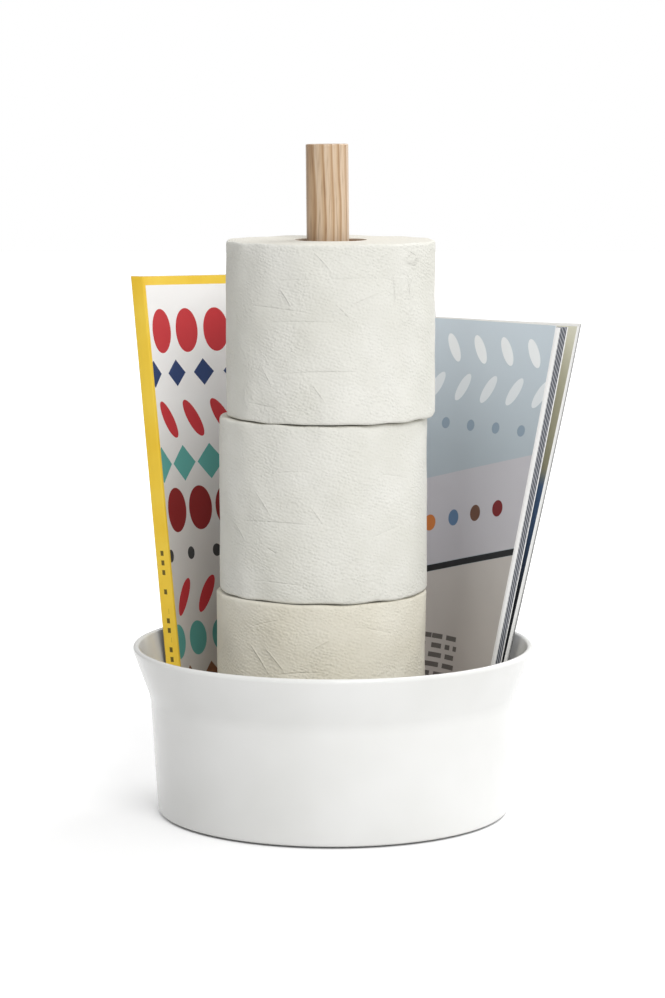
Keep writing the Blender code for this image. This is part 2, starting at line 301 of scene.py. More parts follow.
# %% [markdown]
# ## Glazed stoneware
#
# The bowl is stoneware under a clear white glaze. Glaze is a thin coat of glass, so the
# highlights are sharp and colourless, and its surface is never quite flat: it carries a
# slow unevenness of about 30 mm and a very fine orange peel of about 1 mm. Both go in as
# bump, and the white under it drifts a little between warm and cool. The soft crease is
# drawn 5.5 mm higher and the foot a little narrower than in the engineering model, to
# follow the real outline, so the two surfaces lie up to 1.6 mm apart between foot and rim.

# %% Glazed white stoneware
glaze, tree, shader = new_material("glazed white stoneware", {"Roughness": 0.16, "IOR": 1.52})
place = add(tree, "ShaderNodeTexCoord").outputs["Object"]
cloud = add(tree, "ShaderNodeTexNoise", {"Vector": place, "Scale": 18.0, "Detail": 2.0})
white = add(tree, "ShaderNodeValToRGB", {"Fac": cloud}, [(0.3, "#EAEAE7"), (0.7, "#F1F1EF")])
swell = add(tree, "ShaderNodeTexNoise", {"Vector": place, "Scale": 32.0, "Detail": 0.0})
slow = add(tree, "ShaderNodeBump", {"Height": swell, "Strength": 0.10, "Distance": 0.002})
peel = add(tree, "ShaderNodeTexNoise", {"Vector": place, "Scale": 900.0, "Detail": 1.0})
fine = add(tree, "ShaderNodeBump", {"Height": peel, "Strength": 0.04, "Distance": 0.0003, "Normal": slow})
wire(tree, shader, white, fine)

# %% Bowl
ring_face, rim_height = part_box("bowl")[0][2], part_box("bowl")[1][2]
floor_height, crease_height, lip_fillet = 0.010, 0.0645, 0.00178
boss_top, boss_ceiling, belly_height = 0.027, 0.022, 0.005
bowl_corners = [
    (0.0035, boss_top, 0.0005, 2), (0.034, boss_top, 0.0025, 6), (0.037, floor_height, 0.005, 6),
    (0.0935, floor_height, 0.0045, 8), (0.0976, crease_height, 0.020, 10),
    (0.1069, rim_height, lip_fillet, 8), (0.1107, rim_height, lip_fillet, 8),
    (0.1004, crease_height, 0.025, 10), (0.0966, ring_face, 0.0016, 6), (0.0843, ring_face, 0.001, 3),
    (0.0833, belly_height, 0.002, 4), (0.032, belly_height, 0.002, 4), (0.029, boss_ceiling, 0.002, 4),
    (0.0035, boss_ceiling, 0, 0),
]
bowl = turned_piece("glazed_bowl", rounded(bowl_corners), 256, glaze)
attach(bowl, "holder")
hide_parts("bowl")
print("rim height in mm:", round(rim_height * 1000, 2))

# %% [markdown]
# ## Foam pad and fixings
#
# Under the foot ring lies a thin dark foam disc that keeps the bowl from sliding. The
# screw, washers, gasket and insert are hidden when the post is fitted, but they keep
# honest finishes: zinc plating, brass and rubber.

# %% Foam and rubber
foam, tree, shader = new_material("closed-cell foam", {"Roughness": 0.95})
place = add(tree, "ShaderNodeTexCoord").outputs["Object"]
cells = add(tree, "ShaderNodeTexVoronoi", {"Vector": place, "Scale": 1600.0})
dark = add(tree, "ShaderNodeValToRGB", {"Fac": cells}, [(0.0, "#2A2A2A"), (1.0, "#4A4A49")])
pits = add(tree, "ShaderNodeBump", {"Height": cells, "Strength": 0.4, "Distance": 0.0002})
wire(tree, shader, dark, pits)


def flecked(name, values, scale, tones, detail=2.0):
    """A material whose colour drifts between two tones: bloom, spangle, tarnish or fibres."""
    material, tree, shader = new_material(name, values)
    place = add(tree, "ShaderNodeTexCoord").outputs["Object"]
    fleck = add(tree, "ShaderNodeTexNoise", {"Vector": place, "Scale": scale, "Detail": detail})
    colour = add(tree, "ShaderNodeValToRGB", {"Fac": fleck}, [(0.3, tones[0]), (0.7, tones[1])])
    wire(tree, shader, colour)
    return material


rubber = flecked("moulded nitrile rubber", {"Roughness": 0.75}, 300.0, ("#1C1C1C", "#292928"))
print("foam and rubber ready")

# %% Zinc and brass
zinc = flecked("zinc-plated steel", {"Roughness": 0.35, "Metallic": 1.0}, 500.0, ("#B3B5B4", "#C9CAC8"))
brass = flecked("turned brass", {"Roughness": 0.3, "Metallic": 1.0}, 250.0, ("#C29A4B", "#D6B25F"))


def dress(node_name, material):
    """Gives a carried-over node its finish."""
    finishes = nodes[node_name].data.materials
    finishes.clear()
    finishes.append(material)


for node_name, material in (
    ("base_pad", foam), ("post_gasket", rubber), ("rubber_washer", rubber),
    ("steel_washer", zinc), ("fixing_screw", zinc), ("threaded_insert", brass),
):
    dress(node_name, material)
print("fixings dressed")

# %% [markdown]
# ## Oiled ash
#
# Ash shows strong, gently wavy grain: broad pale early wood and soft brown late-wood lines
# 3 to 5 mm apart, with fine open pores drawn out along the grain. A solid texture gives
# this without seams: growth rings are shells round the tree's heart, which lay outside the
# dowel, so the distance from a far-off, slightly tilted axis is fed to a band pattern.

# %% Oiled ash
ring_pitch, grain_sway = 0.0041, 0.0070
ash, tree, shader = new_material("oiled ash", {
    "Roughness": 0.35, "IOR": 1.5, "Sheen Weight": 0.1, "Sheen Roughness": 0.5,
})
place = add(tree, "ShaderNodeTexCoord").outputs["Object"]
wander = add(tree, "ShaderNodeMapping", {"Vector": place, "Scale": (55.0, 55.0, 13.0)})
drift = add(tree, "ShaderNodeTexNoise", {"Vector": wander, "Scale": 1.0, "Detail": 1.5})
heart = add(tree, "ShaderNodeMapping", {
    "Vector": place, "Location": (0.045, 0.030, 0.0), "Rotation": (0.012, -0.018, 0.0),
    "Scale": (1.0, 1.0, 0.0),
})
reach = add(tree, "ShaderNodeVectorMath", {0: heart}, operation="LENGTH").outputs["Value"]
swayed = add(tree, "ShaderNodeMath", {0: drift, 1: grain_sway, 2: reach}, operation="MULTIPLY_ADD")
rings = add(tree, "ShaderNodeMath", {0: swayed, 1: ring_pitch}, operation="DIVIDE")
ring_share = add(tree, "ShaderNodeMath", {0: rings}, operation="FRACT")
grain = add(tree, "ShaderNodeValToRGB", {"Fac": ring_share}, [
    (0.0, "#DAC5AC"), (0.40, "#D7BFA3"), (0.66, "#C8AA88"), (0.80, "#AE8C68"),
    (0.90, "#C4A685"), (1.0, "#DAC5AC"),
])
drawn_out = add(tree, "ShaderNodeMapping", {"Vector": place, "Scale": (1300.0, 1300.0, 60.0)})
fibres = add(tree, "ShaderNodeTexNoise", {"Vector": drawn_out, "Scale": 1.0, "Detail": 3.0})
pores = add(tree, "ShaderNodeValToRGB", {"Fac": fibres}, [
    (0.30, "#A88A6A"), (0.48, "#EDE4D8"), (0.75, "#FFFFFF"),
])
wood = add(tree, "ShaderNodeMix", {0: 0.5, 6: grain, 7: pores}, data_type="RGBA", blend_type="MULTIPLY")
open_grain = add(tree, "ShaderNodeBump", {"Height": fibres, "Strength": 0.25, "Distance": 0.0003})
wire(tree, shader, wood, open_grain)

# %% Post
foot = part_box("post")[0][2]
top, lean = 0.3652, math.radians(0.56)
length = top - foot
post_radius, bore_radius, chamfer = 0.0115, 0.0047, 0.0007
post_corners = [
    (0.0, length, 0, 0), (post_radius, length, chamfer, 4), (post_radius, 0.0, chamfer, 3),
    (bore_radius, 0.0, 0, 0), (bore_radius, 0.024, 0, 0), (0.0, 0.026, 0, 0),
]
post = turned_piece("ash_post", rounded(post_corners), 96, ash)
for vert in post.data.vertices:
    x, z = vert.co.x, vert.co.z
    vert.co.x = x * math.cos(lean) - z * math.sin(lean)
    vert.co.z = foot + x * math.sin(lean) + z * math.cos(lean)
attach(post, "holder")
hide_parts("post")
print("post stands from", round(foot * 1000, 1), "mm and leans", round(math.degrees(lean), 2), "degrees")

# %% [markdown]
# ## Toilet rolls
#
# A roll is soft tissue wound tightly on a card tube. Up close three things tell it from a
# plain white cylinder: the embossed dots, just under 2 mm apart in loose rows; the thin
# creases where the last sheets were pulled; and edges that are slightly dented and never
# sharp. Dots and the sharp line of each crease are finer than a mesh can hold, so they are
# bump in the material, and each roll has a material with its own creases. The soft hollow
# round each crease, the ripples and the dented edges are moved into the mesh.

# %% Embossed tissue
sheet_radius, side_foot = 57.7, 37.2
crease_half_width, line_bow, line_depth_share = 0.65, 0.04, 0.6


def unrolled(degree, up):
    """Where a place on a roll's side lies on its unrolled sheet, in mm."""
    return math.radians((degree - 90) % 360) * sheet_radius, up + side_foot


def pressed_tissue(name, creases, crumples, tones):
    """Tissue for one roll, unrolled in mm: front at 272 across, foot of the side at 37 up.

    A crease is (degree, mm up, degree, mm up, depth in mm), and a raised fold has a depth below
    zero. A crumple is (degree, mm up, half width, half height, depth), all but the degree in mm.
    """
    material, tree, shader = new_material(name, {"Roughness": 0.95, "Specular IOR Level": 0.15})
    wrap = add(tree, "ShaderNodeUVMap", uv_map="wrap")
    place = add(tree, "ShaderNodeTexCoord").outputs["Object"]
    sway = add(tree, "ShaderNodeTexNoise", {"Vector": wrap, "Scale": 0.12, "Detail": 1.0})
    swayed = add(tree, "ShaderNodeVectorMath", {0: sway.outputs["Color"], 1: (3, 3, 0), 2: wrap},
                 operation="MULTIPLY_ADD")
    slanted = add(tree, "ShaderNodeMapping", {
        "Vector": swayed, "Rotation": (0, 0, 0.35), "Scale": (0.52, 0.6, 0),
    })
    dots = add(tree, "ShaderNodeTexVoronoi", {
        "Vector": slanted, "Scale": 1.0, "Smoothness": 0.6, "Randomness": 0.5,
    }, feature="SMOOTH_F1")
    worn = add(tree, "ShaderNodeTexNoise", {"Vector": place, "Scale": 50.0, "Detail": 2.0})
    kept = add(tree, "ShaderNodeMapRange", {
        "Value": worn, "From Min": 0.35, "From Max": 0.65, "To Min": -0.26, "To Max": -0.6,
    })
    height = add(tree, "ShaderNodeMath", {0: dots, 1: kept}, operation="MULTIPLY")
    for first_angle, first_height, last_angle, last_height, depth in creases:
        first = Vector(unrolled(first_angle, first_height))
        last = Vector(unrolled(last_angle, last_height))
        middle, way = (first + last) / 2, last - first
        local = add(tree, "ShaderNodeMapping", {
            "Vector": wrap, "Location": (middle.x, middle.y, 0),
            "Rotation": (0, 0, math.atan2(way.y, way.x)), "Scale": (way.length / 2, crease_half_width, 1),
        }, vector_type="TEXTURE")
        split = add(tree, "ShaderNodeSeparateXYZ", {0: local})
        along = add(tree, "ShaderNodeMath", {0: split.outputs["X"], 1: split.outputs["X"]},
                    operation="MULTIPLY")
        off = add(tree, "ShaderNodeMath", {0: along, 1: line_bow * way.length, 2: split.outputs["Y"]},
                  operation="MULTIPLY_ADD")
        off = add(tree, "ShaderNodeMath", {0: off}, operation="ABSOLUTE")
        across = add(tree, "ShaderNodeMath", {0: 1.0, 1: off}, operation="SUBTRACT", use_clamp=True)
        fade = add(tree, "ShaderNodeMath", {0: 1.0, 1: along}, operation="SUBTRACT", use_clamp=True)
        sunk = add(tree, "ShaderNodeMath", {0: across, 1: fade}, operation="MULTIPLY")
        height = add(tree, "ShaderNodeMath", {0: sunk, 1: -line_depth_share * depth, 2: height},
                     operation="MULTIPLY_ADD")
    rumple = add(tree, "ShaderNodeTexNoise", {"Vector": wrap, "Scale": 0.30, "Detail": 2.0})
    for angle, middle, half_width, half_height, depth in crumples:
        local = add(tree, "ShaderNodeMapping", {
            "Vector": wrap, "Location": (*unrolled(angle, middle), 0), "Scale": (half_width, half_height, 1),
        }, vector_type="TEXTURE")
        out = add(tree, "ShaderNodeVectorMath", {0: local}, operation="LENGTH").outputs["Value"]
        within = add(tree, "ShaderNodeMapRange", {"Value": out, "From Min": 1.0, "From Max": 0.4},
                     interpolation_type="SMOOTHSTEP")
        moved = add(tree, "ShaderNodeMath", {0: rumple, 1: within}, operation="MULTIPLY")
        height = add(tree, "ShaderNodeMath", {0: moved, 1: depth, 2: height}, operation="MULTIPLY_ADD")
    fibre = add(tree, "ShaderNodeTexNoise", {"Vector": place, "Scale": 1500.0, "Detail": 3.0})
    fuzz = add(tree, "ShaderNodeBump", {"Height": fibre, "Strength": 0.35, "Distance": 0.0002})
    pressed = add(tree, "ShaderNodeBump", {
        "Height": height, "Strength": 1.0, "Distance": 0.001, "Normal": fuzz,
    })
    shade = add(tree, "ShaderNodeTexNoise", {"Vector": place, "Scale": 30.0, "Detail": 3.0})
    # The two tones are the paper's colour. On the lower roll they also carry painted bounce light and shade.
    warm = add(tree, "ShaderNodeValToRGB", {"Fac": shade}, [(0.3, tones[0]), (0.7, tones[1])])
    wire(tree, shader, warm, pressed)
    print(name, "has", len(creases), "creases and", len(tree.nodes), "nodes")
    return material


# %% [markdown]
# The ends of a roll show the edges of the wound sheet as faint rings, one spiral really,
# at less than half a millimetre. They are drawn 0.9 mm apart, or they would not show, and the
# paper is darker in each ring's groove as painted shade. The tube is grey-brown card with flecks of fibre.

# %% Wound sheet edges and card
ring_gap = 0.9
wound, tree, shader = new_material("wound sheet edges", {"Roughness": 0.98, "Specular IOR Level": 0.1})
wrap = add(tree, "ShaderNodeUVMap", uv_map="wrap")
reach = add(tree, "ShaderNodeSeparateXYZ", {0: wrap}).outputs["Y"]
place = add(tree, "ShaderNodeTexCoord").outputs["Object"]
wobble = add(tree, "ShaderNodeTexNoise", {"Vector": place, "Scale": 70.0, "Detail": 3.0})
uneven = add(tree, "ShaderNodeMath", {0: wobble, 1: 1.6, 2: reach}, operation="MULTIPLY_ADD")
turns = add(tree, "ShaderNodeMath", {0: uneven, 1: math.tau / ring_gap}, operation="MULTIPLY")
edge = add(tree, "ShaderNodeMath", {0: turns}, operation="SINE")
ridges = add(tree, "ShaderNodeBump", {"Height": edge, "Strength": 0.3, "Distance": 0.0003})
# Painted shade: the paper is darker in the low part of each ring, where the grooves between the turns lie.
groove_shaded_paper = add(tree, "ShaderNodeValToRGB", {"Fac": edge}, [(0.0, "#DDDAD0"), (0.6, "#ECEAE2")])
wire(tree, shader, groove_shaded_paper, ridges)

card = flecked("spiral-wound grey card", {"Roughness": 0.9}, 700.0, ("#8C6E55", "#B08F72"), detail=4.0)
for level in ("lower", "middle", "upper"):
    dress(level + "_roll_core", card)
print("paper finishes ready")

# %% [markdown]
# Each roll's paper is a grid of points wrapped round the core: out across the bottom, up
# the side, in across the top and back down the bore. The radius carries the same slow
# out-of-round form as the engineering solid. On top of that go soft ripples, dents along
# both edges, and creases. A crease is a line on the unrolled side, given by its two ends
# in degrees from the front and millimetres up.

# %% Roll outline
roll_radius, roll_height, roll_bore, roll_edge = 0.0577, 0.0953, 0.0196, 0.0015
end_steps, corner_steps, side_steps = 10, 7, 130
across_end = np.linspace(roll_bore, roll_radius - roll_edge, end_steps, endpoint=False)
corner = np.linspace(0, math.pi / 2, corner_steps)
up_side = np.linspace(roll_edge, roll_height - roll_edge, side_steps)[1:-1]
roll_outline = np.concatenate([
    np.stack([across_end, 0 * across_end], 1),
    np.stack([roll_radius - roll_edge + roll_edge * np.sin(corner), roll_edge - roll_edge * np.cos(corner)], 1),
    np.stack([0 * up_side + roll_radius, up_side], 1),
    np.stack([roll_radius - roll_edge + roll_edge * np.cos(corner),
              roll_height - roll_edge + roll_edge * np.sin(corner)], 1),
    np.stack([across_end[::-1], 0 * across_end + roll_height], 1),
])
outline_way = np.concatenate([[0], np.cumsum(np.hypot(*np.diff(roll_outline, axis=0).T)), [0]]) * 1000
outline_way[-1] = outline_way[-2] + roll_height * 1000
print("roll outline:", len(roll_outline), "points,", round(outline_way[-2]), "mm long")

# %% Creases and ripples
hollow_depth_share, hollow_width, hollow_bow = 0.3, 0.0018, 0.05


def crease_depth(from_front, height, creases):
    """How far each point sinks, for creases (degree, mm up, degree, mm up, depth in mm)."""
    sunk = np.zeros_like(from_front)
    for first_angle, first_height, last_angle, last_height, depth in creases:
        start = np.array([math.radians(first_angle) * roll_radius, first_height / 1000])
        way = np.array([math.radians(last_angle) * roll_radius, last_height / 1000]) - start
        long = np.hypot(*way)
        way /= long
        x = ((from_front + math.pi) % math.tau - math.pi) * roll_radius - start[0]
        y = height - start[1]
        run, off = x * way[0] + y * way[1], y * way[0] - x * way[1]
        share = np.clip(run / long, -0.2, 1.2)
        off = off + hollow_bow * long * share * (1 - share)
        fade = np.clip(1.15 - np.abs(2 * share - 1), 0, 1) ** 0.7
        sunk += hollow_depth_share * depth / 1000 * fade * np.exp(-(off / hollow_width) ** 2)
    return sunk


def ripples(rng, angle, height, count, longest):
    """Slow waves of random direction that fit round the roll, between -1 and 1 or so."""
    total = np.zeros_like(angle)
    for _ in range(count):
        round_count = rng.integers(-longest, longest + 1)
        total += np.cos(round_count * angle + rng.normal(0, 90) * height + rng.uniform(0, math.tau))
    return total / math.sqrt(count)


print("crease tools ready")

# %% Roll builder
ripple_depth, dent_depth, dent_reach = 0.00028, 0.0003, 0.004
oval_share, lobe_share, waist_share = 0.006, 0.004, 0.005


def tissue_roll(level, centre, turn, seed, drawn, crumples=(), tones=("#DDDCD3", "#E6E5DE")):
    """The paper of one roll, with its own ripples, dents, creases and two tones."""
    rng = np.random.default_rng(seed)
    strays = [(a, h, a + across, h + rise, depth) for a, h, across, rise, depth in zip(
        rng.uniform(80, 260, 6), rng.uniform(12, 84, 6), rng.normal(0, 14, 6),
        rng.normal(0, 9, 6), rng.uniform(0.15, 0.35, 6))]
    creases = drawn + strays
    tissue = pressed_tissue(level + " roll tissue", creases[:16], crumples, tones)
    rows, columns = len(roll_outline), 480
    angle = np.tile(np.linspace(0, math.tau, columns, endpoint=False), (rows, 1))
    radius = np.tile(roll_outline[:, :1], (1, columns))
    height = np.tile(roll_outline[:, 1:], (1, columns))
    from_front = angle + math.pi / 2
    depth_share = (radius - roll_bore) / (roll_radius - roll_bore)
    form = oval_share * (np.cos(2 * angle + turn) - 1) + lobe_share * np.cos(3 * angle - 2 * turn)
    form -= waist_share * np.sin(math.pi * height / roll_height)
    radius = radius * (1 + depth_share * form)
    side = np.clip(depth_share * 5 - 4, 0, 1)
    radius -= side * crease_depth(from_front, height, creases)
    radius -= side * ripple_depth * (1 + ripples(rng, angle, height, 18, 16))
    for edge_height, inward in ((0.0, 1), (roll_height, -1)):
        near = np.exp(-np.abs(height - edge_height) / dent_reach) * side
        radius -= near * dent_depth * (1 + ripples(rng, angle, 0 * height, 9, 22))
        height = height + inward * near * dent_depth * (1 + ripples(rng, angle, 0 * height, 9, 18))
    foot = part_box(level + "_roll_paper")[0][2]
    x, y = centre[0] + radius * np.cos(angle), centre[1] + radius * np.sin(angle)
    points = np.stack([x, y, foot + height], 2)
    row, column = np.meshgrid(np.arange(rows), np.arange(columns), indexing="ij")
    next_row, next_column = (row + 1) % rows, (column + 1) % columns
    faces = np.stack([row * columns + column, row * columns + next_column,
                      next_row * columns + next_column, next_row * columns + column], 2)
    mesh = bpy.data.meshes.new(level + "_roll_tissue")
    mesh.from_pydata(points.reshape(-1, 3).tolist(), [], faces.reshape(-1, 4).tolist())
    step = math.tau * roll_radius * 1000 / columns
    left, right = column * step, (column + 1) * step
    low, high = outline_way[row], outline_way[row + 1]
    wrap = np.stack([left, low, right, low, right, high, left, high], 2)
    mesh.uv_layers.new(name="wrap").data.foreach_set("uv", wrap.reshape(-1).astype("f"))
    mesh.materials.append(tissue)
    mesh.materials.append(wound)
    on_end = (row < end_steps) | (row >= rows - end_steps - 1)
    mesh.polygons.foreach_set("material_index", on_end.astype("i").reshape(-1))
    close_and_smooth(mesh, sharp_degrees=60)
    piece = in_scene(level + "_roll_tissue", mesh)
    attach(piece, level + "_roll")
    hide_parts(level + "_roll_paper")
    print(piece.name, "stands from", round(foot * 1000, 1), "mm,", len(mesh.polygons), "faces")


# %% Three rolls
# The lower roll's warmer, browner tones are painted bounce light and shade from the bowl and magazines round
# it; its paper is the same as on the other rolls.
tissue_roll("lower", (-0.0066, 0.0), math.radians(23), 3, [
    (-42, 82, -20, 88, 0.35), (18, 84, 44, 78, 0.30), (-8, 70, 6, 78, -0.35), (-43.5, 75, -28, 56.5, -0.60),
    (-33, 73, -19, 59, -0.50), (-25.7, 57.6, 0, 60, 0.40),
], tones=("#DED9C9", "#E8E4D7"))
tissue_roll("middle", (-0.0053, 0.0008), math.radians(120), 5, [
    (-34.5, 69.5, -6.6, 71.7, 0.35), (-40.3, 60.6, -28.4, 46.4, -0.55), (-51.5, 43.5, -2.1, 43.6, 0.50),
    (-57.7, 41.9, -46.1, 31.5, -0.55), (-31.8, 29.4, -25.9, 26.8, 0.60), (-45.4, 11.6, -5.5, 10.8, 0.35),
    (-6.6, 53.0, 0.8, 42.7, -0.45), (22, 34, 50, 42, 0.25), (30, 70, 58, 64, 0.25),
])
tissue_roll("upper", (-0.0013, -0.0006), math.radians(223), 8, [
    (-8.9, 92.5, 1.5, 80.6, -0.55), (-32.5, 76.4, -6.6, 77.6, 0.30), (-6.6, 77.6, 34.0, 77.9, 0.30),
    (-28.0, 72.8, -20.5, 62.3, -0.60), (-51.4, 63.4, -9.3, 60.1, 0.40), (-37.9, 54.8, 6.5, 55.4, 0.40),
    (2.8, 64.9, 11.5, 55.9, -0.50), (6.5, 62.8, 32.5, 72.7, -0.35), (35.3, 80.5, 37.4, 60.9, 0.60),
    (41.4, 93.4, 57.2, 87.0, 0.60), (46.7, 78.5, 49.2, 62.5, 0.60), (-40.5, 32.0, -33.0, 21.0, -0.60),
    (-30, 28, 20, 29.5, 0.45), (-11, 24, -2, 12, -0.45), (-52, 11, -30, 9, 0.50),
], [(45, 68, 7.0, 24, 0.9), (50, 88, 9, 5, 1.2), (-50, 14, 8, 9, 0.8)])

# %% [markdown]
# ## Bent magazines
#
# A magazine put into a round bowl bends to the wall and leans out over the soft crease, so
# its back lies on a cone. Every point of it is placed by three numbers: how far across
# from the spine, how deep through the pages and how far up. The engineering model uses the
# same rule, so the dressed sheets lie inside the same space, only with far smoother steps
# and with a UV map in millimetres on which the covers are printed.

# %% Where a magazine's points lie
lean_share = 0.14
upright_share = math.cos(math.atan(lean_share))
standing_height, magazine_gap = 0.0103, 0.0008
wall_radius, wall_height = 0.0963, 0.059
large_width, large_length, large_thickness, end_rise = 0.193, 0.281, 0.0084, 0.0020
large_turn, large_twist = 102.4, 5.4
small_width, small_length, small_thickness = 0.188, 0.2571, 0.0096
small_turn, small_twist = 25.4, 21.2
run_at_foot, run_growth, loose_share = 0.0243, 0.0446, 0.6
fan_out, fan_curve, page_trim = 0.0127, 1.43, 0.0014


def cone_radius(height):
    """Radius of the cone on which the large magazine's back lies."""
    return wall_radius + lean_share * (height - wall_height)


def place_large(across, depth, opening, level):
    """The large magazine, whose two ends rise a little where it is pushed against the bowl."""
    rise = end_rise * (2 * across / large_width - 1) ** 2
    height = standing_height + large_length * upright_share * level + rise
    back = cone_radius(height)
    middle = np.radians(large_turn + large_twist * level)
    angle = middle + (large_width / 2 - across) / (back - large_thickness / 2)
    radius = back - large_thickness + depth
    return radius * np.cos(angle), radius * np.sin(angle), height


def place_small(across, depth, opening, level):
    """The small magazine, which runs straight towards its fore-edge and fans out there."""
    height = standing_height + small_length * upright_share * level
    front = cone_radius(height) - large_thickness - magazine_gap - small_thickness
    straight_run = run_at_foot + run_growth * level
    bend_end = small_width - straight_run
    flat = np.radians(small_turn + small_twist * level)
    angle = flat + np.maximum(0, bend_end - across) / (front + small_thickness / 2)
    loose = np.maximum(0, across / small_width - loose_share) / (1 - loose_share)
    radius = front + depth + opening * fan_out * level ** fan_curve * loose ** 2
    run = np.maximum(0, across - bend_end)
    x = radius * np.cos(angle) + run * np.sin(flat)
    y = radius * np.sin(angle) - run * np.cos(flat)
    return x, y, height


def place_small_page(across, depth, opening, level):
    """The small magazine's pages, trimmed a little shorter than its cover."""
    return place_small(across, depth, opening, level * (1 - page_trim / small_length))


print("foot of the cone in mm:", round(cone_radius(standing_height) * 1000, 1))

# %% [markdown]
# A cover and a block of pages are both made as a strip between two paths, one for its
# outer side and one for its inner side, drawn level by level from foot to top. The cover's
# paths fold round the spine with a small rounded corner, as thick paper does.

# %% Strips between two paths
def bent_sheet(name, outer, inner, place, length, materials, levels=72):
    """A closed strip. Path rows are across, depth, opening, and millimetres on the print."""
    sides = [np.array(outer), np.array(inner)]
    count, edge_slot = len(outer), 2
    share = np.linspace(0, 1, levels + 1)
    points = [np.stack(np.broadcast_arrays(*place(*side.T[:3, None, :], share[:, None])), 2)
              for side in sides]
    other = (levels + 1) * count
    height = share * length * 1000
    faces, prints, slots = [], [], []

    def put(corners, print_corners, slot):
        faces.append(corners)
        prints.extend(print_corners)
        slots.append(slot)

    for side, path in enumerate(sides):
        for j in range(levels):
            for i in range(count - 1):
                a = side * other + j * count + i
                left, right, low, high = path[i, 3], path[i + 1, 3], height[j], height[j + 1]
                put((a, a + 1, a + 1 + count, a + count),
                    ((left, low), (right, low), (right, high), (left, high)), side)
    for i in (0, count - 1):
        out, back = sides[0][i, 1] * 1000, sides[1][i, 1] * 1000
        for j in range(levels):
            a, low, high = j * count + i, height[j], height[j + 1]
            put((a, a + other, a + other + count, a + count),
                ((out, low), (back, low), (back, high), (out, high)), edge_slot)
    for j in (0, levels):
        for i in range(count - 1):
            a = j * count + i
            spots = [(side[k, 1] * 1000, side[k, 0] * 1000) for side, k in
                     ((sides[0], i), (sides[0], i + 1), (sides[1], i + 1), (sides[1], i))]
            put((a, a + 1, a + 1 + other, a + other), spots, edge_slot)
    mesh = bpy.data.meshes.new(name)
    mesh.from_pydata(np.concatenate([side.reshape(-1, 3) for side in points]).tolist(), [], faces)
    mesh.uv_layers.new(name="print").data.foreach_set("uv", np.array(prints, "f").reshape(-1))
    for material in materials:
        mesh.materials.append(material)
    mesh.polygons.foreach_set("material_index", np.array(slots, "i"))
    close_and_smooth(mesh, sharp_degrees=35)
    piece = in_scene(name, mesh)
    print(name, len(mesh.polygons), "faces")
    return piece


# %% Covers and page blocks
page_inset, sheet_steps = 0.0007, 60
spine_fillet, cover_gauge, cover_steps = 0.0011, 0.0004, 48


def cover_path(width, thickness, inset):
    """From the front cover's fore-edge round the spine to the back cover's fore-edge."""
    corner = spine_fillet
    turn = corner - inset
    quarter = np.linspace(0, math.pi / 2, 6)
    flat = np.linspace(width, corner, cover_steps)
    front = [(across, inset, 0) for across in flat[:-1]]
    first = [(corner - turn * math.sin(q), corner - turn * math.cos(q), 0) for q in quarter]
    second = [(corner - turn * math.cos(q), thickness - corner + turn * math.sin(q), 0) for q in quarter]
    back = [(across, thickness - inset, 1) for across in flat[::-1][1:]]
    return np.array(front + first + second + back)


def folded_cover(name, width, length, thickness, place, materials):
    """Front cover, spine and back cover as one folded sheet."""
    outer, inner = cover_path(width, thickness, 0.0), cover_path(width, thickness, cover_gauge)
    way = np.concatenate([[0], np.cumsum(np.hypot(*np.diff(outer[:, :2], axis=0).T))])
    print_across = (width - way)[:, None] * 1000
    return bent_sheet(name, np.hstack([outer, print_across]), np.hstack([inner, print_across]),
                      place, length, materials)


def page_block(name, width, length, depths, openings, place, materials):
    """A block of pages between two depths."""
    paths = [[(across, depth, opening, across * 1000)
              for across in np.linspace(page_inset, width, sheet_steps)]
             for depth, opening in zip(depths, openings)]
    return bent_sheet(name, *paths, place, length, materials)


print("spine corners are rounded by", spine_fillet * 1000, "mm")

# %% [markdown]
# ## Printed covers
#
# Cover stock is coated paper: smooth, with a soft sheen and a slight waviness. A printed
# cover is flat shapes of ink, so each one is a list of shapes in millimetres on the
# cover's own UV map, painted one over another. The designs are plain repeats: even rows of
# discs, lozenges and leaves on one cover, slanted bands with leaves and dots on the other,
# and a few rows of bars where a printed thing would carry small type.

# %% Ink shapes
def mask(tree, spot, kind, u, v, half_u, half_v, turn):
    """1 inside a printed shape and 0 outside it. Sizes are in mm and the turn in degrees."""
    local = add(tree, "ShaderNodeMapping", {
        "Vector": spot, "Location": (u, v, 0), "Rotation": (0, 0, math.radians(turn)),
        "Scale": (half_u, half_v, 1),
    }, vector_type="TEXTURE")
    if kind == "block":
        apart = add(tree, "ShaderNodeVectorMath", {0: local}, operation="ABSOLUTE")
        split = add(tree, "ShaderNodeSeparateXYZ", {0: apart})
        size = add(tree, "ShaderNodeMath", {0: split.outputs["X"], 1: split.outputs["Y"]},
                   operation="MAXIMUM")
    else:
        size = add(tree, "ShaderNodeVectorMath", {0: local}, operation="LENGTH").outputs["Value"]
    if kind == "ring":
        return add(tree, "ShaderNodeMath", {0: size, 1: 0.8, 2: 0.2}, operation="COMPARE")
    return add(tree, "ShaderNodeMath", {0: size, 1: 1.0}, operation="LESS_THAN")


def over(tree, colour, inside, ink):
    """Paints one ink over a colour where the mask is 1."""
    ink = linear(ink) if isinstance(ink, str) else ink
    return add(tree, "ShaderNodeMix", {0: inside, 6: colour, 7: ink}, data_type="RGBA")


def shapes_over(tree, spot, colour, table):
    """Paints a table of (ink, shapes) over a colour, top layer last."""
    for ink, shapes in table:
        inside = None
        for shape in shapes:
            one = mask(tree, spot, *shape)
            if inside:
                one = add(tree, "ShaderNodeMath", {0: inside, 1: one}, operation="MAXIMUM")
            inside = one
        colour = over(tree, colour, inside, ink)
    return colour


